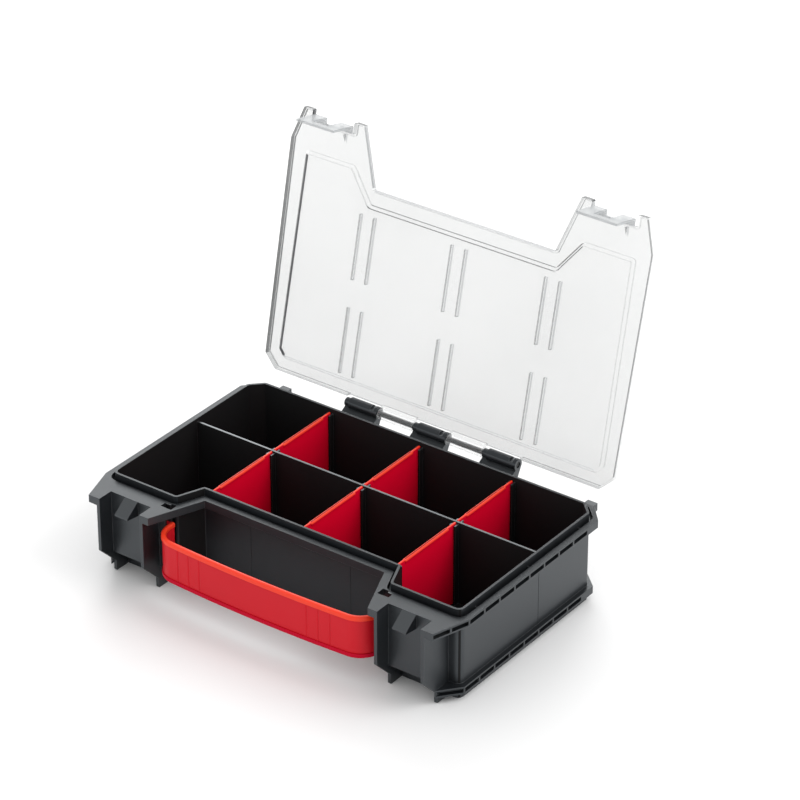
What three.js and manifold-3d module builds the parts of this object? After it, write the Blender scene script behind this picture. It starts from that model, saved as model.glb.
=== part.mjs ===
// Portable parts organizer: a black tray with a carrying handle, six lift-out dividers
// and a clear hinged lid that snaps shut on two catches. It is shown with the lid open.
// Millimetres, +Z up, +X right, -Y towards the handle. The origin is on the underside,
// below the middle of the footprint, so the organizer stands on Z = 0.
import * as THREE from 'three';
import { mergeVertices } from 'three/addons/utils/BufferGeometryUtils.js';
import Module from 'manifold-3d';

const wasm = await Module();
wasm.setup();

// ---- driving dimensions -------------------------------------------------------------

// Tray heights: rim of the compartments, flange round them, floor and inner walls
const RIM_Z = 70;
const FLANGE_Z = 66;
const FLANGE_DEPTH = 6;
const FLOOR = 2.2;
const WALL = 1.8;
const PARTITION_Z = 67.2;

// Tray plan: compartments, flange and groove between them
const INNER_X = 146.5;
const INNER_FRONT = -68.2;
const INNER_BACK = 88.9;
const PARTITION_Y = 22.5;
const RECESS_X = 83.9;
const RECESS_Y = -47.5;
const LOBE_X = 92.3;
const FLANGE_X = 155;
const FLANGE_FRONT = -97.8;
const FLANGE_BACK = 95.9;
const GROOVE = 2.4;
const GROOVE_DEPTH = 4;

// Catch channels in the two front lobes, between cheek plates that end in feet
const CHANNEL_IN = 101;
const CHANNEL_OUT = 136.4;
const CHANNEL_BACK = -85.3;
const CHANNEL_SKIRT_Z = 17;
const PLATE = 2.6;
const CHEEK_BOTTOM_Z = 23.5;
const FOOT_FRONT = -82.5;
const FOOT_Z = 8;
const CATCH_X = 118.2;
const CATCH_WIDTH = 11.4;
const CATCH_NOSE = -96.9;
const CATCH_NOSE_Z = [56.3, 57.6];
const CATCH_ROOT_Z = 54.6;

// Low side flanges and the pockets in the outer edges of both flanges
const LOW_FLANGE_X = 152;
const LOW_FLANGE_Z = [5.5, 11.5];
const LOW_FLANGE_FRONT = -69.5;
const SIDE_FRONT = -68.8;
const POCKET_COUNT = 8;
const POCKET_PITCH = 17.3;
const POCKET_RIB = 1.6;
const POCKET_DEPTH = 3.6;
const POCKET_HEIGHT = 3.2;
const POCKET_DROP = 3.2;

// Lugs under the back of the flange, and short ribs across the side grooves
const LUG_X = [129, 137];
const LUG_BACK = 108.5;
const LUG_Z = [54, 60];
const BRIDGE_Y = [-53.2, 7.3, 67.5];
const BRIDGE_WALL = 1.4;
const BRIDGE_Z = [60, 65];

// Hinge: three tray knuckles and two lid knuckles on one rod
const HINGE_Y = 102.5;
const HINGE_Z = 71;
const ROD_RADIUS = 1.9;
const ROD_CLEARANCE = 0.3;
const KNUCKLE_RADIUS = 4.4;
const KNUCKLE_PITCH = 60;
const KNUCKLE_LENGTH = 29;
const KNUCKLE_GAP = 0.5;
const COLLAR = 4;
const COLLAR_RADIUS = 3.3;
const SLOT = 3;
const SLOT_DEPTH = 1.6;
const FOOT_BACK = 92;
const FOOT_REACH = 3.7;
const FOOT_NECK = 3.1;
const FOOT_SLOPE = 2.2;
const ROD_HOLE_END = 80;
const ARM_FRONT = 90;
const ARM_RISE = 1;
const ARM_SINK = 0.5;
const ARM_BARREL_RADIUS = 4;
const NOTCH_CLEAR = 1.2;
const NOTCH_DEPTH = 10;

// Lid, as it lies when closed, and how far it stands open
const LID_OPEN = THREE.MathUtils.degToRad(103);
const LID_Z = 71;
const LID_WALL = 2.2;
const PANEL_RISE = 2.2;
const LID_RIM = 1.6;
const LID_FRONT = -98;
const LID_CUTOUT_BACK = -89;
const RIB_PITCH = 78.7;
const RIB_SPREAD = 11.8;
const RIB_WALL = 1.8;
const RIB_RUNS = [[-35.2, 14], [34.6, 84.2]];
const RIB_DROP = 0.4;
const GUSSET_X = [-105, 131];
const GUSSET_WALL = 1.6;
const GUSSET_RUN = 8.2;
const GUSSET_DROP = 4;

// Snap clasps
const CLASP_WIDTH = 32.8;
const CLASP_FRONT = -95;
const CLASP_DROP = 24;
const CLASP_WALL = 1.8;
const CLASP_GAP = 0.6;
const WINDOW_HALF = 6.4;
const WINDOW_BOTTOM = 55.2;
const WINDOW_BACK = -90.6;
const EYE_RADIUS = 1.2;
const EYE_SIDE = 8.6;

// Handle: a bowed band with a rim above and below a thinner web, and an ear at each end
const HANDLE_X = 92;
const HANDLE_FRONT = -97.6;
const HANDLE_BACK = -75;
const HANDLE_BOW = 2.4;
const HANDLE_Z = [20, 53];
const HANDLE_RIM = 3.5;
const HANDLE_WEB = 2.2;
const HANDLE_WEB_INSET = 0.7;
const HANDLE_RIM_HEIGHT = 3.6;
const HANDLE_CORNER = 18;
const EAR_OUT = 96.5;
const EAR_Y = [-78.5, -75];
const EAR_TOP = 52.5;
const EAR_BOTTOM = 23;
const SOCKET_RIB = 1.8;
const SOCKET_CLEAR = 0.4;
const SOCKET_Z = 17;
const EAR_HOLE = { x: [87.8, 96.8], y: [-79.6, -73] };

// Dividers
const DIVIDER_X = [-79, 0, 79];
const DIVIDER_WALL = 1.6;
const DIVIDER_BEAD = 3.2;
const DIVIDER_CLEAR = 0.4;
const GUIDE_WALL = 1.4;
const GUIDE_REACH = 4.2;
const GUIDE_Z = 66;
const BEAD_INSET = 9;
const BEAD_HEIGHT = 3;

const LEAST_RADIUS = 0.5;
const CURVE_STEPS = 5;
const ROUND_SIDES = 32;
const BOW_STEPS = 8;
const OVERSHOOT = 1;
const SINK = 0.5;

// ---- materials ----------------------------------------------------------------------

const blackPlastic = new THREE.MeshStandardMaterial({ color: 0x1c1d1f, roughness: 0.6, metalness: 0 });
const redPlastic = new THREE.MeshStandardMaterial({ color: 0xc81420, roughness: 0.45, metalness: 0 });
const clearPlastic = new THREE.MeshStandardMaterial({
  color: 0xe8eeee,
  roughness: 0.1,
  metalness: 0,
  transparent: true,
  opacity: 0.35,
});
const rodPlastic = new THREE.MeshStandardMaterial({ color: 0x2b2c2e, roughness: 0.4, metalness: 0 });

// ---- solids and outlines ------------------------------------------------------------

function solid(geometry) {
  const bare = geometry.clone();
  bare.deleteAttribute('normal');
  bare.deleteAttribute('uv');
  const merged = mergeVertices(bare, 1e-4);
  return new wasm.Manifold(new wasm.Mesh({
    numProp: 3,
    vertProperties: new Float32Array(merged.attributes.position.array),
    triVerts: new Uint32Array(merged.index.array),
  }));
}

function joined(solids) {
  return solids.reduce((whole, next) => whole.add(next));
}

function mesh(name, body, material) {
  const { vertProperties, triVerts } = body.getMesh();
  const geometry = new THREE.BufferGeometry();
  geometry.setAttribute('position', new THREE.BufferAttribute(vertProperties, 3));
  geometry.setIndex(Array.from(triVerts));
  geometry.computeVertexNormals();
  const made = new THREE.Mesh(geometry, material);
  made.name = name;
  return made;
}

// Both halves of an outline whose points, [x, y, corner radius], are given for +X only
function mirrored(half) {
  return [...half, ...half.map(([x, y, r]) => [-x, y, r]).reverse()];
}

function flipped(points) {
  return points.map(([x, y, r]) => [-x, y, r]).reverse();
}

// The outline moved outwards by a distance, with mitred corners; it runs counterclockwise.
// A corner whose radius would almost vanish is left sharp.
function grown(points, distance) {
  return points.map(([x, y, radius = 0], i) => {
    const before = points.at(i - 1);
    const after = points[(i + 1) % points.length];
    const inbound = new THREE.Vector2(x - before[0], y - before[1]).normalize();
    const outbound = new THREE.Vector2(after[0] - x, after[1] - y).normalize();
    const miter = new THREE.Vector2(inbound.y + outbound.y, -inbound.x - outbound.x);
    miter.multiplyScalar(distance / (1 + inbound.dot(outbound)));
    const turnsLeft = inbound.cross(outbound) > 0;
    const grownRadius = radius + (turnsLeft ? distance : -distance);
    return [x + miter.x, y + miter.y, radius && grownRadius > LEAST_RADIUS ? grownRadius : 0];
  });
}

// A closed shape with each corner rounded by its radius
function outline(points) {
  const shape = new THREE.Shape();
  points.forEach(([x, y, radius = 0], i) => {
    const corner = new THREE.Vector2(x, y);
    const towards = (p) => new THREE.Vector2(p[0] - x, p[1] - y).normalize();
    const inward = towards(points.at(i - 1));
    const onward = towards(points[(i + 1) % points.length]);
    const halfAngle = Math.acos(THREE.MathUtils.clamp(inward.dot(onward), -1, 1)) / 2;
    const run = radius / Math.tan(halfAngle);
    const start = corner.clone().addScaledVector(inward, run);
    const end = corner.clone().addScaledVector(onward, run);
    if (i === 0) {
      shape.moveTo(start.x, start.y);
    } else {
      shape.lineTo(start.x, start.y);
    }
    if (radius > 0) {
      shape.quadraticCurveTo(x, y, end.x, end.y);
    }
  });
  shape.closePath();
  return shape;
}

function prism(points, z0, z1) {
  const geometry = new THREE.ExtrudeGeometry(outline(points), {
    depth: z1 - z0,
    bevelEnabled: false,
    curveSegments: CURVE_STEPS,
  });
  return solid(geometry.translate(0, 0, z0));
}

// A profile given as [y, z] points, extruded along X
const alongX = new THREE.Matrix4().makeBasis(
  new THREE.Vector3(0, 1, 0),
  new THREE.Vector3(0, 0, 1),
  new THREE.Vector3(1, 0, 0),
);

function slab(profile, x0, x1) {
  const geometry = new THREE.ExtrudeGeometry(outline(profile), {
    depth: x1 - x0,
    bevelEnabled: false,
    curveSegments: CURVE_STEPS,
  });
  return solid(geometry.applyMatrix4(alongX).translate(x0, 0, 0));
}

function box(x0, x1, y0, y1, z0, z1) {
  const geometry = new THREE.BoxGeometry(x1 - x0, y1 - y0, z1 - z0);
  return solid(geometry.translate((x0 + x1) / 2, (y0 + y1) / 2, (z0 + z1) / 2));
}

function rodAlongX(radius, x0, x1, y, z) {
  const geometry = new THREE.CylinderGeometry(radius, radius, x1 - x0, ROUND_SIDES);
  geometry.rotateZ(Math.PI / 2);
  return solid(geometry.translate((x0 + x1) / 2, y, z));
}

// ---- tray ---------------------------------------------------------------------------

const cavity = mirrored([
  [RECESS_X, RECESS_Y, 2],
  [LOBE_X, INNER_FRONT, 2],
  [INNER_X, INNER_FRONT, 4],
  [INNER_X, INNER_BACK - 8.5, 2],
  [INNER_X - 8.5, INNER_BACK, 2],
]);

const flangeEdge = mirrored([
  [76.6, -56.6],
  [93.3, FLANGE_FRONT],
  [145.9, FLANGE_FRONT],
  [FLANGE_X, SIDE_FRONT],
  [FLANGE_X, 82],
  [142.5, FLANGE_BACK],
]);

// A pocket sunk into a vertical edge that runs from one point to the next
function pocket(from, to, z) {
  const along = new THREE.Vector2(to[0] - from[0], to[1] - from[1]).normalize();
  const outward = new THREE.Vector2(along.y, -along.x);
  const at = (p, side, reach) => [
    p[0] + along.x * side + outward.x * reach,
    p[1] + along.y * side + outward.y * reach,
  ];
  const rib = POCKET_RIB / 2;
  return prism([
    at(from, rib, -POCKET_DEPTH),
    at(from, rib, OVERSHOOT),
    at(to, -rib, OVERSHOOT),
    at(to, -rib, -POCKET_DEPTH),
  ], z - POCKET_HEIGHT / 2, z + POCKET_HEIGHT / 2);
}

function pocketRow(x, y0, z) {
  return Array.from({ length: POCKET_COUNT }, (_, i) => {
    const y = y0 + i * POCKET_PITCH;
    return pocket([x, y], [x, y + POCKET_PITCH], z);
  });
}

function lowFlange() {
  const edge = [
    [CHANNEL_OUT + PLATE, CHANNEL_BACK],
    [LOW_FLANGE_X, LOW_FLANGE_FRONT],
    [LOW_FLANGE_X, 82.5],
    [140.5, 93],
    [128, 93],
    [128, 80],
    [147, 70],
    [147, -60],
    [139, -68],
  ];
  const z = (LOW_FLANGE_Z[0] + LOW_FLANGE_Z[1]) / 2;
  const pockets = [pocket(edge[0], edge[1], z), ...pocketRow(LOW_FLANGE_X, LOW_FLANGE_FRONT, z)];
  return prism(edge, ...LOW_FLANGE_Z).subtract(joined(pockets));
}

// One front lobe's bracket: two side plates with feet, the skirt between them and the catch
function lobeBracket() {
  const cheek = [
    [FLANGE_FRONT, FLANGE_Z - FLANGE_DEPTH / 2],
    [FLANGE_FRONT, CHEEK_BOTTOM_Z],
    [FOOT_FRONT, FOOT_Z],
    [FOOT_FRONT, 0, 1],
    [INNER_FRONT, 0],
    [INNER_FRONT, FLANGE_Z - FLANGE_DEPTH / 2],
  ].reverse();
  const ramp = [
    [CHANNEL_BACK + WALL, CATCH_ROOT_Z],
    [CHANNEL_BACK + WALL, FLANGE_Z],
    [CHANNEL_BACK, FLANGE_Z],
    [CATCH_NOSE, CATCH_NOSE_Z[1]],
    [CATCH_NOSE, CATCH_NOSE_Z[0]],
    [CHANNEL_BACK, CATCH_ROOT_Z],
  ];
  return joined([
    slab(cheek, CHANNEL_OUT, CHANNEL_OUT + PLATE),
    slab(cheek, CHANNEL_IN - PLATE, CHANNEL_IN),
    box(
      CHANNEL_IN - PLATE, CHANNEL_OUT + PLATE,
      CHANNEL_BACK, CHANNEL_BACK + WALL,
      CHANNEL_SKIRT_Z, FLANGE_Z - SINK,
    ),
    slab(ramp, CATCH_X - CATCH_WIDTH / 2, CATCH_X + CATCH_WIDTH / 2),
  ]);
}

// The socket that holds one handle end: two ribs on the cheek, in front of and behind the ear
function handleSocket() {
  const [earFront, earBack] = EAR_Y;
  const starts = [earFront - SOCKET_CLEAR - SOCKET_RIB, earBack + SOCKET_CLEAR];
  return joined(starts.map((y) => box(
    HANDLE_X + SOCKET_CLEAR, CHANNEL_IN - PLATE + SINK,
    y, y + SOCKET_RIB,
    SOCKET_Z, FLANGE_Z - SINK,
  )));
}

function onBothSides(right) {
  return right.add(right.mirror([1, 0, 0]));
}

function guides() {
  const gap = DIVIDER_WALL / 2 + DIVIDER_CLEAR;
  const walls = [
    [PARTITION_Y + WALL / 2, 1],
    [PARTITION_Y - WALL / 2, -1],
    [INNER_BACK, -1],
    [RECESS_Y, 1],
  ];
  return DIVIDER_X.flatMap((x) => walls.flatMap(([y, side]) => {
    const near = y - side * SINK;
    const far = y + side * GUIDE_REACH;
    const [y0, y1] = [Math.min(near, far), Math.max(near, far)];
    return [
      box(x + gap, x + gap + GUIDE_WALL, y0, y1, FLOOR - SINK, GUIDE_Z),
      box(x - gap - GUIDE_WALL, x - gap, y0, y1, FLOOR - SINK, GUIDE_Z),
    ];
  }));
}

function grooveBridges() {
  return joined(BRIDGE_Y.map((y) => box(
    INNER_X + WALL / 2, INNER_X + WALL + GROOVE + SINK,
    y - BRIDGE_WALL / 2, y + BRIDGE_WALL / 2,
    ...BRIDGE_Z,
  )));
}

function lug() {
  return box(...LUG_X, FOOT_BACK - SINK, LUG_BACK, ...LUG_Z);
}

function rodHole() {
  return rodAlongX(ROD_RADIUS + ROD_CLEARANCE, -ROD_HOLE_END, ROD_HOLE_END, HINGE_Y, HINGE_Z);
}

// A tray knuckle stands on a foot that grows out of the back edge of the flange. It has a
// thinner collar at its left end and a slot across the top at its right end.
function trayKnuckle(x) {
  const half = KNUCKLE_LENGTH / 2;
  const foot = [
    [FOOT_BACK, FLANGE_Z - FLANGE_DEPTH],
    [HINGE_Y - 1, FLANGE_Z - FLANGE_DEPTH],
    [HINGE_Y + FOOT_REACH, HINGE_Z - FOOT_SLOPE],
    [HINGE_Y, HINGE_Z],
    [HINGE_Y - FOOT_NECK, HINGE_Z - FOOT_NECK],
    [FLANGE_BACK, FLANGE_Z],
    [FOOT_BACK, FLANGE_Z],
  ];
  const top = HINGE_Z + KNUCKLE_RADIUS;
  const slot = box(
    x + half - 2 * SLOT, x + half - SLOT,
    FOOT_BACK, HINGE_Y + KNUCKLE_RADIUS,
    top - SLOT_DEPTH, top + OVERSHOOT,
  );
  return joined([
    slab(foot, x - half, x + half),
    rodAlongX(COLLAR_RADIUS, x - half, x - half + COLLAR + SINK, HINGE_Y, HINGE_Z),
    rodAlongX(KNUCKLE_RADIUS, x - half + COLLAR, x + half, HINGE_Y, HINGE_Z),
  ]).subtract(slot);
}

function tray() {
  const knuckles = [-KNUCKLE_PITCH, 0, KNUCKLE_PITCH].map(trayKnuckle);
  const side = joined([lowFlange(), lobeBracket(), handleSocket(), grooveBridges(), lug()]);
  const outside = joined([
    prism(grown(cavity, WALL), 0, RIM_Z),
    prism(flangeEdge, FLANGE_Z - FLANGE_DEPTH, FLANGE_Z),
  ]);
  const groove = prism(grown(cavity, WALL + GROOVE), FLANGE_Z - GROOVE_DEPTH, FLANGE_Z + OVERSHOOT)
    .subtract(prism(grown(cavity, WALL), 0, RIM_Z + OVERSHOOT));

  const chamfer = [[145.9, FLANGE_FRONT], [150.45, -83.3], [FLANGE_X, SIDE_FRONT]];
  const pocketZ = FLANGE_Z - POCKET_DROP;
  const cutZ = [FLANGE_Z - FLANGE_DEPTH - OVERSHOOT, FLANGE_Z + OVERSHOOT];
  const cuts = joined([
    pocket(chamfer[0], chamfer[1], pocketZ),
    pocket(chamfer[1], chamfer[2], pocketZ),
    ...pocketRow(FLANGE_X, SIDE_FRONT, pocketZ),
    box(CHANNEL_IN, CHANNEL_OUT, FLANGE_FRONT - OVERSHOOT, CHANNEL_BACK, ...cutZ),
    box(...EAR_HOLE.x, ...EAR_HOLE.y, ...cutZ),
  ]);
  const shell = outside
    .subtract(groove)
    .subtract(onBothSides(cuts))
    .add(joined([onBothSides(side), ...knuckles]));

  const partition = box(
    -INNER_X - SINK, INNER_X + SINK,
    PARTITION_Y - WALL / 2, PARTITION_Y + WALL / 2,
    FLOOR - SINK, PARTITION_Z,
  );
  return shell
    .subtract(prism(cavity, FLOOR, RIM_Z + OVERSHOOT))
    .add(joined([partition, ...guides()]))
    .subtract(rodHole());
}

// ---- lid and clasps, built closed ---------------------------------------------------

const lidEdge = mirrored([
  [76.9, -54.5, 2],
  [91.6, LID_FRONT],
  [100.3, LID_FRONT, 1.5],
  [100.3, LID_CUTOUT_BACK, 1],
  [136.3, LID_CUTOUT_BACK, 1],
  [136.3, LID_FRONT, 1.5],
  [144.4, LID_FRONT],
  [152.4, -73.5, 2],
  [150.6, 88.6, 2],
  [140.4, 98.6, 3],
]);

const panelEdge = mirrored([
  [78.7, -43, 3],
  [97, -67, 3],
  [139, -67, 3],
  [140.3, 83, 4],
  [135, 88.9, 4],
]);

function lidKnuckle(x) {
  const half = (KNUCKLE_PITCH - KNUCKLE_LENGTH) / 2 - KNUCKLE_GAP;
  const arm = [
    [ARM_FRONT, LID_Z],
    [HINGE_Y, LID_Z - ARM_SINK],
    [HINGE_Y, LID_Z + LID_WALL + ARM_RISE],
    [ARM_FRONT, LID_Z + LID_WALL],
  ];
  return joined([
    slab(arm, x - half, x + half),
    rodAlongX(ARM_BARREL_RADIUS, x - half, x + half, HINGE_Y, HINGE_Z),
  ]);
}

function lid() {
  const top = LID_Z + LID_WALL + PANEL_RISE;
  const plate = prism(lidEdge, LID_Z, LID_Z + LID_WALL);
  const rim = prism(lidEdge, LID_Z, top)
    .subtract(prism(grown(lidEdge, -LID_RIM), LID_Z - OVERSHOOT, top + OVERSHOOT));
  const panel = prism(panelEdge, LID_Z, top);
  const hollow = prism(grown(panelEdge, -LID_WALL), LID_Z - OVERSHOOT, LID_Z + PANEL_RISE);

  const ribBottom = LID_Z - RIB_DROP;
  const ribTop = LID_Z + PANEL_RISE + LID_WALL / 2;
  const ribs = [-1, 0, 1].flatMap((column) => [-1, 1].flatMap((side) => {
    const x = column * RIB_PITCH + side * RIB_SPREAD / 2;
    return RIB_RUNS.map(([y0, y1]) => box(x - RIB_WALL / 2, x + RIB_WALL / 2, y0, y1, ribBottom, ribTop));
  }));

  const gussetFront = LID_CUTOUT_BACK + SINK;
  const gusset = [
    [gussetFront + GUSSET_RUN, LID_Z + SINK],
    [gussetFront, LID_Z + SINK],
    [gussetFront, LID_Z - GUSSET_DROP],
  ];
  const gussets = GUSSET_X.map((x) => slab(gusset, x - GUSSET_WALL / 2, x + GUSSET_WALL / 2));

  const notches = [-KNUCKLE_PITCH, 0, KNUCKLE_PITCH].map((x) => {
    const half = KNUCKLE_LENGTH / 2 + KNUCKLE_GAP;
    return box(
      x - half, x + half,
      HINGE_Y - KNUCKLE_RADIUS - NOTCH_CLEAR, HINGE_Y + NOTCH_DEPTH,
      LID_Z - NOTCH_DEPTH, LID_Z + NOTCH_DEPTH,
    );
  });
  const arms = [-KNUCKLE_PITCH / 2, KNUCKLE_PITCH / 2].map(lidKnuckle);

  return joined([plate, rim, panel])
    .subtract(hollow)
    .add(joined([...ribs, ...gussets]))
    .subtract(joined(notches))
    .add(joined(arms))
    .subtract(rodHole());
}

// A clasp is a springy flap with a window: the bar below the window snaps under the catch
function clasp(x) {
  const half = CLASP_WIDTH / 2;
  const top = LID_Z + LID_WALL;
  const section = [
    [LID_CUTOUT_BACK - CLASP_GAP, LID_Z],
    [LID_CUTOUT_BACK - CLASP_GAP, top],
    [CLASP_FRONT, top, 1.5],
    [CLASP_FRONT, top - CLASP_DROP],
    [CLASP_FRONT + CLASP_WALL, top - CLASP_DROP],
    [CLASP_FRONT + CLASP_WALL, LID_Z, 0.5],
  ];
  const window = box(
    x - WINDOW_HALF, x + WINDOW_HALF,
    CLASP_FRONT - OVERSHOOT, WINDOW_BACK,
    WINDOW_BOTTOM, top + OVERSHOOT,
  );
  const eyeLength = 3 * LID_WALL;
  const eye = solid(new THREE.CylinderGeometry(EYE_RADIUS, EYE_RADIUS, eyeLength, 12)
    .translate(x - EYE_SIDE, (CLASP_FRONT + CLASP_WALL + WINDOW_BACK) / 2, top));
  return slab(section, x - half, x + half).subtract(window).subtract(eye);
}

// ---- handle, dividers and hinge rod -------------------------------------------------

// A bowed band that crosses the recess and turns back at both ends, a distance inside the
// handle's outer face
function band(inset, thickness, z0, z1) {
  const bowed = (x) => HANDLE_FRONT - HANDLE_BOW * (1 - (x / (HANDLE_X - HANDLE_CORNER)) ** 2);
  const side = (depth) => {
    const half = HANDLE_X - depth;
    const reach = HANDLE_X - HANDLE_CORNER;
    const corner = HANDLE_CORNER - depth;
    const arc = Array.from({ length: BOW_STEPS + 1 }, (_, i) => {
      const x = -reach + (2 * reach * i) / BOW_STEPS;
      return [x, bowed(x) + depth];
    });
    return [
      [-half, HANDLE_BACK],
      [-half, HANDLE_FRONT + depth, corner],
      ...arc.slice(1, -1),
      [half, HANDLE_FRONT + depth, corner],
      [half, HANDLE_BACK],
    ];
  };
  return prism([...side(inset), ...side(inset + thickness).reverse()], z0, z1);
}

function handle() {
  const [bottom, top] = HANDLE_Z;
  const ear = box(HANDLE_X - HANDLE_RIM, EAR_OUT, ...EAR_Y, EAR_BOTTOM, EAR_TOP);
  return joined([
    band(0, HANDLE_RIM, bottom, bottom + HANDLE_RIM_HEIGHT),
    band(0, HANDLE_RIM, top - HANDLE_RIM_HEIGHT, top),
    band(HANDLE_WEB_INSET, HANDLE_WEB, bottom + SINK, top - SINK),
    onBothSides(ear),
  ]);
}

function divider(x, y0, y1) {
  const z0 = FLOOR + DIVIDER_CLEAR;
  const start = y0 + DIVIDER_CLEAR;
  const end = y1 - DIVIDER_CLEAR;
  return joined([
    box(x - DIVIDER_WALL / 2, x + DIVIDER_WALL / 2, start, end, z0, PARTITION_Z),
    box(
      x - DIVIDER_BEAD / 2, x + DIVIDER_BEAD / 2,
      start + BEAD_INSET, end - BEAD_INSET,
      PARTITION_Z - BEAD_HEIGHT, PARTITION_Z,
    ),
  ]);
}

// ---- assembly -----------------------------------------------------------------------

const organizer = new THREE.Group();
organizer.add(mesh('tray', tray(), blackPlastic));
organizer.add(mesh('handle', handle(), redPlastic));

const rodEnd = KNUCKLE_PITCH + KNUCKLE_LENGTH / 2 - SINK;
organizer.add(mesh('hinge_rod', rodAlongX(ROD_RADIUS, -rodEnd, rodEnd, HINGE_Y, HINGE_Z), rodPlastic));

const partitionHalf = WALL / 2;
const rows = {
  front: [RECESS_Y, PARTITION_Y - partitionHalf],
  back: [PARTITION_Y + partitionHalf, INNER_BACK],
};
for (const [row, [y0, y1]] of Object.entries(rows)) {
  ['left', 'centre', 'right'].forEach((side, i) => {
    organizer.add(mesh(`divider_${row}_${side}`, divider(DIVIDER_X[i], y0, y1), redPlastic));
  });
}

// The lid group turns about the hinge rod, and its contents are placed as when closed
const hinge = new THREE.Group();
hinge.position.set(0, HINGE_Y, HINGE_Z);
hinge.rotation.x = -LID_OPEN;
const closedLid = new THREE.Group();
closedLid.position.set(0, -HINGE_Y, -HINGE_Z);
closedLid.add(mesh('lid', lid(), clearPlastic));
closedLid.add(mesh('clasp_left', clasp(-CATCH_X), clearPlastic));
closedLid.add(mesh('clasp_right', clasp(CATCH_X), clearPlastic));
hinge.add(closedLid);
organizer.add(hinge);

export default organizer;
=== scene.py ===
"""A portable parts organizer on a pale studio floor: black moulded tray, red carrying handle and
dividers, and a clear lid with two snap clasps, standing open."""
import math

import bmesh
import bpy
import numpy as np
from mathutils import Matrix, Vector


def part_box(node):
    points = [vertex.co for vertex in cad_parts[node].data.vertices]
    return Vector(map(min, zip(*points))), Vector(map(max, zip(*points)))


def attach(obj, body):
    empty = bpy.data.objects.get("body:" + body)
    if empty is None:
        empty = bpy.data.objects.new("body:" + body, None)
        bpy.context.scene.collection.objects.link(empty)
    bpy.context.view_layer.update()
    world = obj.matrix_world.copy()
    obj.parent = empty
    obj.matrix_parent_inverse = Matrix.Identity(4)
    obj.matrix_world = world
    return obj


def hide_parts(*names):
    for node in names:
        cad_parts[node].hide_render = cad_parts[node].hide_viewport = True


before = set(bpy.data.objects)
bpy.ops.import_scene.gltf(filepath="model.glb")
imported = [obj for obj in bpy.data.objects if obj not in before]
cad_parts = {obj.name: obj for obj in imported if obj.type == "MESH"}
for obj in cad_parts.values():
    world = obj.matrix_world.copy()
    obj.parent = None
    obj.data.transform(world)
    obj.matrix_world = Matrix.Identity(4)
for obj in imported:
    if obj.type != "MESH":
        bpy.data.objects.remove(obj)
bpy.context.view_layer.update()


# ---- Studio -------------------------------------------------------------------------
# A pale floor under an even white sky, with one large soft box high on the right and a
# stronger one behind on the left. The camera looks down from the front right through a long lens.

def aimed(place, target):
    """Rotation that points an object's -Z from its place to the target, with +Y kept upwards."""
    return (Vector(target) - Vector(place)).to_track_quat("-Z", "Y").to_euler()


def soft_box(name, place, power, size):
    """A rectangular area light of a size in metres and a power in watts, aimed at the object."""
    light = bpy.data.lights.new(name, "AREA")
    light.shape = "RECTANGLE"
    light.size, light.size_y = size
    light.energy = power
    lamp = bpy.data.objects.new(name, light)
    lamp.location = place
    lamp.rotation_euler = aimed(place, LIT_POINT)
    bpy.context.scene.collection.objects.link(lamp)


VIEW_TURN = math.radians(36.31)
VIEW_TILT = math.radians(30.19)
VIEW_DISTANCE = 2.6584
LENS_LENGTH = 173.07
SENSOR_WIDTH = 36
VIEW_REACH = 50
AIM = Vector((0, 0.0652, 0.1151))
backwards = Vector((
    math.sin(VIEW_TURN) * math.cos(VIEW_TILT),
    -math.cos(VIEW_TURN) * math.cos(VIEW_TILT),
    math.sin(VIEW_TILT),
))
lens = bpy.data.cameras.new("camera")
lens.sensor_width = SENSOR_WIDTH
lens.lens = LENS_LENGTH
lens.clip_end = VIEW_REACH
camera = bpy.data.objects.new("camera", lens)
camera.location = AIM + backwards * VIEW_DISTANCE
camera.rotation_euler = aimed(camera.location, AIM)
bpy.context.scene.collection.objects.link(camera)
bpy.context.scene.camera = camera
bpy.context.scene.view_settings.view_transform = "Standard"

sky = bpy.data.worlds.new("white_sky")
sky.use_nodes = True
sky.node_tree.nodes["Background"].inputs["Color"].default_value = (1, 1, 1, 1)
sky.node_tree.nodes["Background"].inputs["Strength"].default_value = 1.0
bpy.context.scene.world = sky
LIT_POINT = (0, 0, 0.05)
soft_box("key_box", (1.5, 0.5, 1.5), 13, (1.2, 1.2))
soft_box("back_box", (-1.2, 1.65, 1.2), 24, (1.6, 1.1))

FLOOR_HALF = 12
FLOOR_DULL = 0.87
FLOOR_PALE = 0.89
floor_mesh = bpy.data.meshes.new("floor")
floor_mesh.from_pydata(
    [(-FLOOR_HALF, -FLOOR_HALF, 0), (FLOOR_HALF, -FLOOR_HALF, 0),
     (FLOOR_HALF, FLOOR_HALF, 0), (-FLOOR_HALF, FLOOR_HALF, 0)],
    [],
    [(0, 1, 2, 3)],
)
floor = bpy.data.objects.new("floor", floor_mesh)
bpy.context.scene.collection.objects.link(floor)
floor_paint = bpy.data.materials.new("floor_paint")
floor_paint.use_nodes = True
paint_tree = floor_paint.node_tree
paint_shader = paint_tree.nodes["Principled BSDF"]
paint_shader.inputs["Roughness"].default_value = 0.9
paint_shader.inputs["Specular IOR Level"].default_value = 0.1
floor_place = paint_tree.nodes.new("ShaderNodeTexCoord")
mottle = paint_tree.nodes.new("ShaderNodeTexNoise")
mottle.inputs["Scale"].default_value = 4.0
pale = paint_tree.nodes.new("ShaderNodeMix")
pale.data_type = "RGBA"
pale.inputs["A"].default_value = (FLOOR_DULL, FLOOR_DULL, FLOOR_DULL, 1)
pale.inputs["B"].default_value = (FLOOR_PALE, FLOOR_PALE, FLOOR_PALE, 1)
paint_tree.links.new(floor_place.outputs["Object"], mottle.inputs["Vector"])
paint_tree.links.new(mottle.outputs["Fac"], pale.inputs["Factor"])
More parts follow.
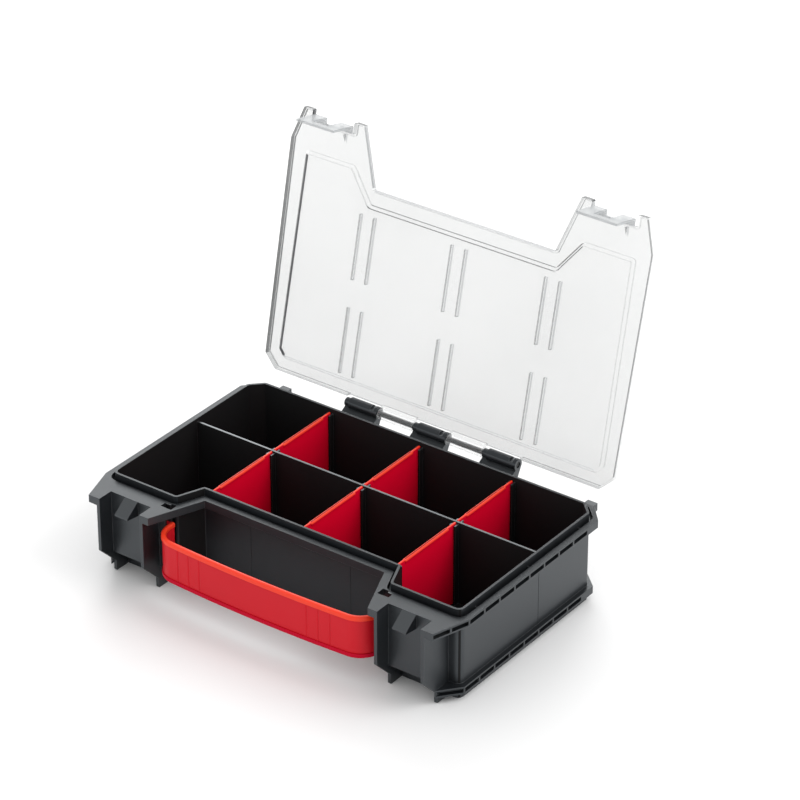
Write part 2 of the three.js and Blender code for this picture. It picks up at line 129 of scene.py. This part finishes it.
paint_tree.links.new(pale.outputs["Result"], paint_shader.inputs["Base Color"])
floor_mesh.materials.append(floor_paint)


# ---- Tray ---------------------------------------------------------------------------
# One black polypropylene moulding: tub, rim, flange, lobes, catches and knuckles. Its tops
# carry a fine spark-eroded grain, its outer walls are glossier, and its edges carry a paler
# painted highlight.

MM = 0.001
ROUGH_DRIFT = 0.05


def add_node(tree, kind, **sockets):
    """A new node with its named sockets set; an underscore in a name stands for a space."""
    node = tree.nodes.new(kind)
    for name, value in sockets.items():
        node.inputs[name.replace("_", " ")].default_value = value
    return node


def moulded_plastic(name, colours, roughness, grain, grain_depth, gloss, sheen_tint=(1, 1, 1),
                    rough_drift=ROUGH_DRIFT):
    """Plastic whose colour and roughness drift by slow noise, between the two colours and by the drift
    each way from the roughness, with a fine moulded grain as bump, its depth in metres."""
    colour, colour_shift = colours
    material = bpy.data.materials.new(name)
    material.use_nodes = True
    tree = material.node_tree
    shader = tree.nodes["Principled BSDF"]
    shader.inputs["Specular IOR Level"].default_value = gloss
    shader.inputs["Specular Tint"].default_value = (*sheen_tint, 1)
    place = tree.nodes.new("ShaderNodeTexCoord")

    drift = add_node(tree, "ShaderNodeTexNoise", Scale=18.0, Detail=4.0, Roughness=0.6)
    tree.links.new(place.outputs["Object"], drift.inputs["Vector"])
    tone = tree.nodes.new("ShaderNodeMix")
    tone.data_type = "RGBA"
    tone.inputs["A"].default_value = (*colour, 1)
    tone.inputs["B"].default_value = (*colour_shift, 1)
    tree.links.new(drift.outputs["Fac"], tone.inputs["Factor"])
    tree.links.new(tone.outputs["Result"], shader.inputs["Base Color"])

    fine = add_node(tree, "ShaderNodeTexNoise", Scale=grain, Detail=2.0, Roughness=0.55)
    tree.links.new(place.outputs["Object"], fine.inputs["Vector"])
    sheen = add_node(
        tree, "ShaderNodeMapRange", To_Min=roughness - rough_drift, To_Max=roughness + rough_drift)
    tree.links.new(drift.outputs["Fac"], sheen.inputs["Value"])
    tree.links.new(sheen.outputs["Result"], shader.inputs["Roughness"])

    bump = add_node(tree, "ShaderNodeBump", Strength=0.35, Distance=grain_depth)
    tree.links.new(fine.outputs["Fac"], bump.inputs["Height"])
    tree.links.new(bump.outputs["Normal"], shader.inputs["Normal"])
    return material


WELD = 0.002 * MM
FLAT = math.radians(0.5)


def welded_copy(node, name):
    """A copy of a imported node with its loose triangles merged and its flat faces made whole."""
    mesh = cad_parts[node].data.copy()
    mesh.name = name
    work = bmesh.new()
    work.from_mesh(mesh)
    bmesh.ops.remove_doubles(work, verts=work.verts, dist=WELD)
    bmesh.ops.dissolve_limit(work, angle_limit=FLAT, verts=work.verts, edges=work.edges)
    work.to_mesh(mesh)
    work.free()
    mesh.materials.clear()
    copy = bpy.data.objects.new(name, mesh)
    bpy.context.scene.collection.objects.link(copy)
    return copy


SHARP = math.radians(28)
FLAT_WEIGHT = 80
TRAY_ROUND = 0.2 * MM


def soften(moulding, width, segments=2, edge_slot=-1):
    """Rounds the sharp edges of a welded copy and evens the shading of its flat faces. The rounded
    strips may take their own material slot."""
    moulding.data.shade_smooth()
    moulding.data.set_sharp_from_angle(angle=SHARP)
    bevel = moulding.modifiers.new("soften", "BEVEL")
    bevel.width = width
    bevel.segments = segments
    bevel.limit_method = "ANGLE"
    bevel.angle_limit = SHARP
    bevel.use_clamp_overlap = False
    bevel.miter_outer = "MITER_SHARP"
    bevel.material = edge_slot
    even = moulding.modifiers.new("even_normals", "WEIGHTED_NORMAL")
    even.keep_sharp = False
    even.weight = FLAT_WEIGHT


COOL_SHEEN = (0.86, 0.94, 1.0)
BLACK_GRAIN = 2600
black_grain = moulded_plastic(
    "black_grain", ((0.006, 0.0068, 0.008), (0.009, 0.01, 0.0116)),
    0.42, BLACK_GRAIN, 0.00005, 0.42, COOL_SHEEN)
# A paler copy of the black: a painted highlight for the rounded edges and the tops of the partition and the
# guides.
black_edge_highlight = moulded_plastic(
    "black_edge_highlight", ((0.014, 0.0145, 0.015), (0.024, 0.0245, 0.0255)),
    0.3, BLACK_GRAIN, 0.00002, 0.8, COOL_SHEEN)
black_side = moulded_plastic(
    "black_side", ((0.005, 0.0056, 0.0068), (0.0085, 0.0093, 0.011)),
    0.4, BLACK_GRAIN, 0.00004, 0.85, COOL_SHEEN)
black_bin = moulded_plastic(
    "black_bin", ((0.009, 0.009, 0.0095), (0.012, 0.012, 0.0125)),
    0.55, BLACK_GRAIN, 0.00005, 0.12)
black_recess = moulded_plastic(
    "black_recess", ((0.0065, 0.0078, 0.0096), (0.0095, 0.0112, 0.0135)),
    0.45, BLACK_GRAIN, 0.00004, 0.55, COOL_SHEEN)

BIN_X = 146.8 * MM
BIN_FRONT = -68.5 * MM
BIN_BACK = 89.2 * MM
BIN_RECESS = (84.2 * MM, -47.8 * MM)
BIN_TOP = 69.5 * MM
BIN_FLOOR = 5 * MM
CHAMFER_X = 135 * MM
CHAMFER_Y = 78 * MM
GUIDE_FOOT = 60 * MM
LARGE_TOP = 0.002
RECESS_HALF = 92.5 * MM
RECESS_FRONT = -70.5 * MM
UNDERSIDE = 1 * MM
STEEP = 0.6
OUTWARD = 0.3


def face_values(mesh, what, width=3):
    """One row for each face of a mesh: its normal, its centre or, of width 1, its area."""
    values = np.empty(len(mesh.polygons) * width)
    mesh.polygons.foreach_get(what, values)
    return values.reshape(-1, width)


def set_slots(mesh, slots):
    """Gives each face of a mesh the material of its slot number."""
    mesh.polygons.foreach_set("material_index", slots.astype(np.int32))


def shade_tray(mesh):
    """Gives each face a slot: 4 on the walls of the recess, 3 within the bins, 2 on the other upright
    faces, 1 for a painted highlight on the tops of the partition and the guides, and 0 for the rest.
    The outer faces of the back chamfers have their centres within the bins' box, so their outward normals
    leave them out."""
    normals = face_values(mesh, "normal")
    x, y, z = face_values(mesh, "center").T
    area = face_values(mesh, "area", 1)[:, 0]
    upright = np.abs(normals[:, 2]) < STEEP
    behind_recess = (y > BIN_RECESS[1]) | (np.abs(x) > BIN_RECESS[0])
    in_tub = (np.abs(x) < BIN_X) & (y < BIN_BACK) & behind_recess & (z < BIN_TOP)
    chamfer = (np.abs(x) > CHAMFER_X) & (y > CHAMFER_Y) & (x * normals[:, 0] > 0) & (normals[:, 1] > OUTWARD)
    inside = in_tub & (y > BIN_FRONT) & (z > UNDERSIDE) & (upright | (z < BIN_FLOOR)) & ~chamfer
    recess = upright & (np.abs(x) < RECESS_HALF) & (y > RECESS_FRONT) & (y < 0) & (z > UNDERSIDE)
    # Painted highlight: these tops take the paler edge material.
    bin_tops = in_tub & ~upright & (z > GUIDE_FOOT) & (area < LARGE_TOP)
    slots = np.where(inside, 3, np.where(recess, 4, np.where(upright, 2, 0)))
    set_slots(mesh, np.where(bin_tops, 1, slots))


tray = welded_copy("tray", "tray_moulding")
for material in (black_grain, black_edge_highlight, black_side, black_bin, black_recess):
    tray.data.materials.append(material)
shade_tray(tray.data)
# The rounded strips take slot 1, the paler painted highlight.
soften(tray, TRAY_ROUND, 2, 1)
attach(tray, "tray")
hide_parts("tray")


# ---- Mould seams --------------------------------------------------------------------
# Hairline flash where the inserts of the mould met: two upright seams on the recess wall
# and one on each side wall of the tub.

def mesh_from_rings(name, rings, material):
    """A closed tube from an array of rings, shape (rings, points, 3): each point joins the next point
    round its ring and the same two of the next ring, and the first and last ring are the caps."""
    count, around, _ = rings.shape
    row = np.arange(count - 1)[:, None] * around
    here = np.arange(around)[None, :]
    after = (here + 1) % around
    quads = np.stack([row + here, row + after, row + around + after, row + around + here], -1)
    mesh = bpy.data.meshes.new(name)
    faces = quads.reshape(-1, 4).tolist()
    faces.append(list(range(around))[::-1])
    faces.append(list(range((count - 1) * around, count * around)))
    mesh.from_pydata(rings.reshape(-1, 3).tolist(), [], faces)
    mesh.materials.append(material)
    mesh.shade_smooth()
    mesh.set_sharp_from_angle(angle=SHARP)
    return mesh


def rounded_rectangles(half_wide, half_high, radius, steps):
    """One ring for each value of the three arrays: corner k of a rectangle is the quarter circle
    centre + radius (cos t, sin t), with t from k to k + 1 quarter turns, counterclockwise."""
    t = np.linspace(0, np.pi / 2, steps) + np.arange(4)[:, None] * np.pi / 2
    arcs = radius[:, None, None, None] * np.stack([np.cos(t), np.sin(t)], -1)
    corners = np.array([[1, 1], [-1, 1], [-1, -1], [1, -1]])
    centres = np.stack([half_wide - radius, half_high - radius], -1)[:, None, :] * corners
    return (centres[:, :, None, :] + arcs).reshape(len(radius), -1, 2)


SMALLEST_ROUND = 0.01 * MM


def rounded_block(low, high, radius, steps=5):
    """Rings of a block along Y. Towards each end the ring shrinks by radius times (1 - cos t) while it
    moves on by radius times sin t, so every edge is a quarter round."""
    low, high = np.array(low, float), np.array(high, float)
    centre, half = (low + high) / 2, (high - low) / 2
    t = np.linspace(0, np.pi / 2, steps)
    inset = radius * (1 - np.cos(t))
    onward = half[1] - radius + radius * np.sin(t)
    shrink = np.concatenate([inset[::-1], inset])
    along = np.concatenate([-onward[::-1], onward])
    corner = np.maximum(radius - shrink, SMALLEST_ROUND)
    ring = rounded_rectangles(half[0] - shrink, half[2] - shrink, corner, steps)
    depth = np.broadcast_to(along[:, None], ring.shape[:2])
    return (centre + np.stack([ring[..., 0], depth, ring[..., 1]], -1))[::-1]


def piece(name, meshes):
    """One object from one or more closed meshes, joined without welding."""
    work = bmesh.new()
    for part in meshes:
        work.from_mesh(part)
    whole = meshes[0].copy()
    whole.name = name
    work.to_mesh(whole)
    work.free()
    made = bpy.data.objects.new(name, whole)
    bpy.context.scene.collection.objects.link(made)
    return made


SEAM = 0.45 * MM
SEAM_ROUND = 0.1 * MM
SEAM_PROUD = 0.12 * MM
SEAM_BURIED = 0.4 * MM
SEAM_TOP = 59.5 * MM
RECESS_FACE = -49.3 * MM
RECESS_SEAM_X = 42.7 * MM
RECESS_SEAM_FOOT = 4 * MM
SIDE_FACE = 148.3 * MM
SIDE_SEAM_Y = 21 * MM
SIDE_SEAM_FOOT = 12 * MM
seam_meshes = []
for side in (-1, 1):
    x = side * RECESS_SEAM_X
    block = rounded_block(
        (x - SEAM / 2, RECESS_FACE - SEAM_PROUD, RECESS_SEAM_FOOT),
        (x + SEAM / 2, RECESS_FACE + SEAM_BURIED, SEAM_TOP), SEAM_ROUND)
    seam_meshes.append(mesh_from_rings("recess_seam", block, black_grain))
for side in (-1, 1):
    x0, x1 = sorted((side * (SIDE_FACE - SEAM_BURIED), side * (SIDE_FACE + SEAM_PROUD)))
    block = rounded_block(
        (x0, SIDE_SEAM_Y - SEAM / 2, SIDE_SEAM_FOOT), (x1, SIDE_SEAM_Y + SEAM / 2, SEAM_TOP), SEAM_ROUND)
    seam_meshes.append(mesh_from_rings("side_seam", block, black_grain))
seams = piece("mould_seams", seam_meshes)
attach(seams, "tray")


# ---- Hinge rod ----------------------------------------------------------------------
# A smooth dark rod pushed through the five knuckles, with its ends flush in the outer two.

rod_plastic = moulded_plastic(
    "rod_plastic", ((0.008, 0.0085, 0.009), (0.014, 0.0145, 0.015)),
    0.4, 900, 0.00002, 0.25, rough_drift=0.04)
ROD_SIDES = 48
ROD_END = 0.5 * MM
rod_low, rod_high = (np.array(corner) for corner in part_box("hinge_rod"))
rod_radius = (rod_high[2] - rod_low[2]) / 2
rod_centre = (rod_low + rod_high) / 2
# Each end is a quarter round: the rings move on by ROD_END sin t and shrink by ROD_END (1 - cos t).
turn = np.linspace(0, 2 * np.pi, ROD_SIDES, endpoint=False)
end_turn = np.linspace(0, np.pi / 2, 5)
end_inset = ROD_END * (1 - np.cos(end_turn))
end_onward = ROD_END * np.sin(end_turn)
along = np.concatenate([rod_low[0] + ROD_END - end_onward[::-1], rod_high[0] - ROD_END + end_onward])
reach = rod_radius - np.concatenate([end_inset[::-1], end_inset])
rod_rings = np.stack([
    np.broadcast_to(along[:, None], (len(along), ROD_SIDES)),
    rod_centre[1] + reach[:, None] * np.cos(turn),
    rod_centre[2] + reach[:, None] * np.sin(turn),
], -1)
rod = piece("rod", [mesh_from_rings("rod", rod_rings, rod_plastic)])
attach(rod, "tray")
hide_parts("hinge_rod")


# ---- Handle -------------------------------------------------------------------------
# A red band, bowed across the recess: a rolled rim above and below a thinner web, three
# moulded grip lines near both ends, and ears that slide into the sockets of the lobes.

HANDLE_X = 92 * MM
HANDLE_FRONT = -97.6 * MM
HANDLE_BACK = -75 * MM
HANDLE_BOW = 2.4 * MM
HANDLE_CORNER = 18 * MM
HANDLE_BOTTOM = 20 * MM
HANDLE_TOP = 53 * MM
RIM_DEEP = 3.5 * MM
RIM_HIGH = 3.6 * MM
RIM_ROUND = 1.5 * MM
WEB_INSET = 0.7 * MM
WEB_BACK = 2.9 * MM
WEB_COVE = 0.5 * MM
WEB_LIP = 0.3 * MM
WEB_MARGIN = 0.4 * MM
WEB_SLACK = 0.05 * MM
GRIP_LINES = np.array([-68.4, -58.7, -49.0, 43.0, 52.3, 61.9]) * MM
GRIP_WIDE = 0.5 * MM
GRIP_DEEP = 0.5 * MM


def handle_path():
    """Outer face of the band in plan. The front follows a parabola y = front - bow (1 - (x / reach)^2),
    each corner is a quarter circle, and the legs run straight back. Steps are finer at the grip lines."""
    reach = HANDLE_X - HANDLE_CORNER
    plain = np.linspace(-reach, reach, 90)
    fine = (GRIP_LINES[:, None] + np.linspace(-3, 3, 21) * GRIP_WIDE).ravel()
    x = np.unique(np.round(np.concatenate([plain, fine]), 7))
    front = np.stack([x, HANDLE_FRONT - HANDLE_BOW * (1 - (x / reach) ** 2)], -1)
    t = np.linspace(0, np.pi / 2, 25)[:-1]
    centre_y = HANDLE_FRONT + HANDLE_CORNER
    left = np.stack([-reach - HANDLE_CORNER * np.cos(t), centre_y - HANDLE_CORNER * np.sin(t)], -1)
    leg = np.stack([np.full(6, -HANDLE_X), np.linspace(HANDLE_BACK, centre_y, 6)], -1)[:-1]
    half = np.concatenate([leg, left])
    return np.concatenate([half, front, (half * (-1, 1))[::-1]])


def rim_round(centre, radius, start, end, steps=7):
    """An arc of the section, from a start to an end angle in degrees."""
    t = np.radians(np.linspace(start, end, steps))
    return np.stack([centre[0] + radius * np.cos(t), centre[1] + radius * np.sin(t)], -1)


def handle_section():
    """The band's section as (depth from the outer face, height): two rounded rims and a web between
    them that is set back on both sides, joined to the rims by small coves."""
    low, high = HANDLE_BOTTOM, HANDLE_TOP
    inner, outer = low + RIM_HIGH, high - RIM_HIGH
    edge, cove, lip = RIM_ROUND, WEB_COVE, WEB_LIP
    web = np.linspace(inner + cove, outer - cove, 14)[1:-1]
    return np.concatenate([
        rim_round((edge, low + edge), edge, 270, 180),
        rim_round((lip, inner - lip), lip, 180, 90, 4),
        rim_round((WEB_INSET + cove, inner + cove), cove, 270, 180, 4),
        np.stack([np.full(len(web), WEB_INSET), web], -1),
        rim_round((WEB_INSET + cove, outer - cove), cove, 180, 90, 4),
        rim_round((lip, outer + lip), lip, 270, 180, 4),
        rim_round((edge, high - edge), edge, 180, 90),
        rim_round((RIM_DEEP - edge, high - edge), edge, 90, 0),
        rim_round((RIM_DEEP - lip, outer + lip), lip, 0, -90, 4),
        rim_round((WEB_BACK - cove, outer - cove), cove, 90, 0, 4),
        rim_round((WEB_BACK - cove, inner + cove), cove, 0, -90, 4),
        rim_round((RIM_DEEP - lip, inner - lip), lip, 90, 0, 4),
        rim_round((RIM_DEEP - edge, low + edge), edge, 0, -90),
    ])


def handle_rings():
    """The section carried along the path on the path's inward normal; the grip lines press the web's
    front in by depth times exp(-(distance / width)^2). The rings run from the path's end back to its
    start, so that the faces point outwards."""
    path = handle_path()
    tangent = np.gradient(path, axis=0)
    tangent /= np.linalg.norm(tangent, axis=1, keepdims=True)
    inward = np.stack([-tangent[:, 1], tangent[:, 0]], -1)
    section = handle_section()
    depth = np.broadcast_to(section[:, 0], (len(path), len(section))).copy()
    on_front = path[:, 1] < HANDLE_FRONT + 1 * MM
    press = GRIP_DEEP * np.exp(-((path[:, :1] - GRIP_LINES) / GRIP_WIDE) ** 2).sum(1) * on_front
    web_front = section[:, 0] < WEB_INSET + WEB_SLACK
    web_front &= section[:, 1] > HANDLE_BOTTOM + RIM_HIGH + WEB_MARGIN
    web_front &= section[:, 1] < HANDLE_TOP - RIM_HIGH - WEB_MARGIN
    depth += press[:, None] * web_front
    plan = path[:, None, :] + inward[:, None, :] * depth[..., None]
    height = np.broadcast_to(section[:, 1], depth.shape)
    return np.concatenate([plan, height[..., None]], -1)[::-1]


RED_GRAIN = 2200
red_satin = moulded_plastic(
    "red_satin", ((0.56, 0.004, 0.014), (0.62, 0.007, 0.017)), 0.45, RED_GRAIN, 0.00004, 0.22)
# Lit and shaded copies of the red: an orange painted highlight for the top rims, and a darker painted shade
# for the bottom rim of the handle.
red_lit = moulded_plastic(
    "red_lit", ((0.84, 0.035, 0.012), (0.9, 0.05, 0.016)), 0.4, RED_GRAIN, 0.00003, 0.3)
red_painted_shade = moulded_plastic(
    "red_painted_shade", ((0.48, 0.001, 0.02), (0.54, 0.0015, 0.024)), 0.45, RED_GRAIN, 0.00003, 0.08)


def paint_rim_light_and_shade(plate, top, bottom):
    """Paints light and shade on the rims: the faces above the top height take a painted highlight, slot 1,
    and those below the bottom height a painted shade, slot 2."""
    plate.materials.append(red_lit)
    plate.materials.append(red_painted_shade)
    height = face_values(plate, "center")[:, 2]
    set_slots(plate, np.where(height > top, 1, np.where(height < bottom, 2, 0)))
    return plate


RIM_LIT = 3 * MM
EAR_X = (88.9 * MM, 96.5 * MM)
EAR_Y = (-78.5 * MM, -75 * MM)
EAR_Z = (23 * MM, 52.5 * MM)
EAR_ROUND = 0.5 * MM
ears = []
for side in (-1, 1):
    x0, x1 = sorted(side * x for x in EAR_X)
    block = rounded_block((x0, EAR_Y[0], EAR_Z[0]), (x1, EAR_Y[1], EAR_Z[1]), EAR_ROUND)
    ears.append(mesh_from_rings("ear", block, red_satin))
band = mesh_from_rings("band", handle_rings(), red_satin)
# Painted highlight on the top rim of the band, painted shade on its bottom rim.
paint_rim_light_and_shade(band, HANDLE_TOP - RIM_LIT, HANDLE_BOTTOM + RIM_HIGH)
handle = piece("handle_band", [band, *ears])
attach(handle, "tray")
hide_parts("handle")


# ---- Dividers -----------------------------------------------------------------------
# Six red plates that drop into the guide ribs of the bins, each with a thicker bead along
# its top that stops short of the guides.

red_plate = moulded_plastic(
    "red_plate", ((0.72, 0.0008, 0.022), (0.78, 0.0012, 0.027)), 0.5, RED_GRAIN, 0.00003, 0.06)
BEAD_HIGH = 3 * MM
BEAD_INSET = 9 * MM
BEAD_LIT = 1.3 * MM
BEAD_ROUND = 1.2 * MM
DIVIDER_WALL = 1.6 * MM
DIVIDER_ROUND = 0.5 * MM
for row in ("front", "back"):
    for side in ("left", "centre", "right"):
        node = f"divider_{row}_{side}"
        low, high = (np.array(corner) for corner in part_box(node))
        middle = (low[0] + high[0]) / 2
        sheet = rounded_block(
            (middle - DIVIDER_WALL / 2, low[1], low[2]),
            (middle + DIVIDER_WALL / 2, high[1], high[2]), DIVIDER_ROUND)
        bead = rounded_block(
            (low[0], low[1] + BEAD_INSET, high[2] - BEAD_HIGH),
            (high[0], high[1] - BEAD_INSET, high[2]), BEAD_ROUND, 7)
        # The top of each bead takes the orange painted highlight.
        parts = [paint_rim_light_and_shade(mesh_from_rings(name, rings, red_plate), high[2] - BEAD_LIT, low[2])
                 for name, rings in (("sheet", sheet), ("bead", bead))]
        plate = piece(f"{node}_plate", parts)
        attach(plate, node)
        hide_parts(node)


# ---- Lid and clasps -----------------------------------------------------------------
# Clear polycarbonate: the flat faces hardly show, while the cut edges, steps and ribs look
# grey because light travels along inside the sheet.

TINT_DRIFT = 0.75
HAZE = 0.15
GRAZING = 0.35


def clear_sheet(name, tint, density, roughness, rim=0):
    """A see-through skin over a polished plastic, whose density drifts a little by slow noise. A rim
    above 0 is added towards grazing angles, where a thick round wall bends light into a white line."""
    material = bpy.data.materials.new(name)
    material.use_nodes = True
    tree = material.node_tree
    shader = tree.nodes["Principled BSDF"]
    shader.inputs["Roughness"].default_value = roughness
    place = tree.nodes.new("ShaderNodeTexCoord")
    haze = add_node(tree, "ShaderNodeTexNoise", Scale=9.0, Detail=3.0)
    tree.links.new(place.outputs["Object"], haze.inputs["Vector"])
    tone = tree.nodes.new("ShaderNodeMix")
    tone.data_type = "RGBA"
    tone.inputs["A"].default_value = (*tint, 1)
    tone.inputs["B"].default_value = (*(TINT_DRIFT * value for value in tint), 1)
    tree.links.new(haze.outputs["Fac"], tone.inputs["Factor"])
    tree.links.new(tone.outputs["Result"], shader.inputs["Base Color"])
    alpha = add_node(tree, "ShaderNodeMapRange", To_Min=density * (1 - HAZE), To_Max=density * (1 + HAZE))
    tree.links.new(haze.outputs["Fac"], alpha.inputs["Value"])
    tree.links.new(alpha.outputs["Result"], shader.inputs["Alpha"])
    if rim:
        grazing = add_node(tree, "ShaderNodeLayerWeight", Blend=GRAZING)
        lift = tree.nodes.new("ShaderNodeMath")
        lift.operation = "MULTIPLY_ADD"
        lift.inputs[1].default_value = rim
        tree.links.new(grazing.outputs["Facing"], lift.inputs[0])
        tree.links.new(alpha.outputs["Result"], lift.inputs[2])
        tree.links.new(lift.outputs["Value"], shader.inputs["Alpha"])
    return material


# The dark, pale and round skins paint light and shade into the lid's edges: painted shade, a painted
# highlight, and a painted white grazing line.
clear_face = clear_sheet("clear_face", (0.4, 0.42, 0.415), 0.23, 0.12)
clear_edge = clear_sheet("clear_edge", (0.24, 0.26, 0.27), 0.5, 0.15)
clear_dark = clear_sheet("clear_dark", (0.02, 0.024, 0.028), 0.87, 0.3)
clear_faint = clear_sheet("clear_faint", (0.5, 0.52, 0.52), 0.05, 0.3)
clear_pale = clear_sheet("clear_pale", (0.8, 0.82, 0.82), 0.3, 0.15)
clear_round = clear_sheet("clear_round", (0.9, 0.92, 0.93), 0.03, 0.1, 0.4)
clasp_face = clear_sheet("clasp_face", (0.5, 0.52, 0.53), 0.55, 0.3)

LID_LEAN = math.radians(103)
HINGE_Y = 102.5 * MM
HINGE_Z = 71 * MM


def closed_frame(vectors):
    """Vectors of the open lid turned back to the closed lid, by its lean about the hinge line."""
    x, y, z = vectors.T
    across = np.cos(LID_LEAN) * y - np.sin(LID_LEAN) * z
    raised = np.sin(LID_LEAN) * y + np.cos(LID_LEAN) * z
    return np.stack([x, across, raised], -1)


STEP_X = (132, 142)
STEP_FRONT = (-44, -39.5)
STEP_FRONT_HALF = 80
SLANT_X = (77, 99)
SLANT_Y = (-68, -42)
HORN_STEP = (-68, -64)
RIM_X = 147
TIPS = -97
BARREL_Y = 97.8
BARREL_HALF = 90
CUT = 0.7
SIDEWAYS = 0.5
LENGTHWISE = 0.95


def between(values, limits):
    """True where a value lies between the two limits."""
    return (values > limits[0]) & (values < limits[1])


def shade_edges(mesh):
    """Gives each face a slot that paints light and shade into the edges: 0 along the sheet, 1 for cut
    edges and ribs, 2 for painted shade on the steps that light cannot pass, 3 for the steps that hardly
    show,
    4 for a painted highlight on the right edge and the ends of the knuckles, and 5 for the painted white
    grazing line round the rod. Places are those of the closed lid, in millimetres."""
    normals = closed_frame(face_values(mesh, "normal"))
    centres = closed_frame(face_values(mesh, "center") - (0, HINGE_Y, HINGE_Z))
    x, y, _ = (centres + (0, HINGE_Y, 0)).T / MM
    aside = np.abs(normals[:, 0]) > CUT
    cut = np.abs(normals[:, 2]) < CUT
    step_left = between(-x, STEP_X) & aside
    step_right = between(x, STEP_X) & aside
    step_front = between(y, STEP_FRONT) & (np.abs(x) < STEP_FRONT_HALF)
    slant = between(y, SLANT_Y) & between(np.abs(x), SLANT_X) & (np.abs(normals[:, 1]) < LENGTHWISE)
    horn_front = between(y, HORN_STEP)
    rim_left = x < -RIM_X
    rim_right_inside = (x > RIM_X) & (normals[:, 0] < -SIDEWAYS)
    rim_right = (x > RIM_X) & (normals[:, 0] > SIDEWAYS)
    dark = step_left | step_front | slant & (x > 0) | rim_left | rim_right_inside | (y < TIPS)
    faint = step_right | slant & (x < 0) | horn_front
    slots = np.where(cut & faint, 3, np.where(cut & dark, 2, np.where(cut, 1, 0)))
    slots = np.where(cut & rim_right, 4, slots)
    barrel = (y > BARREL_Y) & (np.abs(x) < BARREL_HALF)
    set_slots(mesh, np.where(barrel & aside, 4, np.where(barrel, 5, slots)))


LID_ROUND = 0.15 * MM
lid = welded_copy("lid", "lid_moulding")
for material in (clear_face, clear_edge, clear_dark, clear_faint, clear_pale, clear_round):
    lid.data.materials.append(material)
shade_edges(lid.data)
soften(lid, LID_ROUND, 1)
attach(lid, "lid")
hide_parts("lid")

for side in ("left", "right"):
    clasp = welded_copy(f"clasp_{side}", f"clasp_{side}_moulding")
    clasp.data.materials.append(clasp_face)
    clasp.data.materials.append(clear_edge)
    soften(clasp, LID_ROUND, 2, 1)
    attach(clasp, f"clasp_{side}")
    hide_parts(f"clasp_{side}")
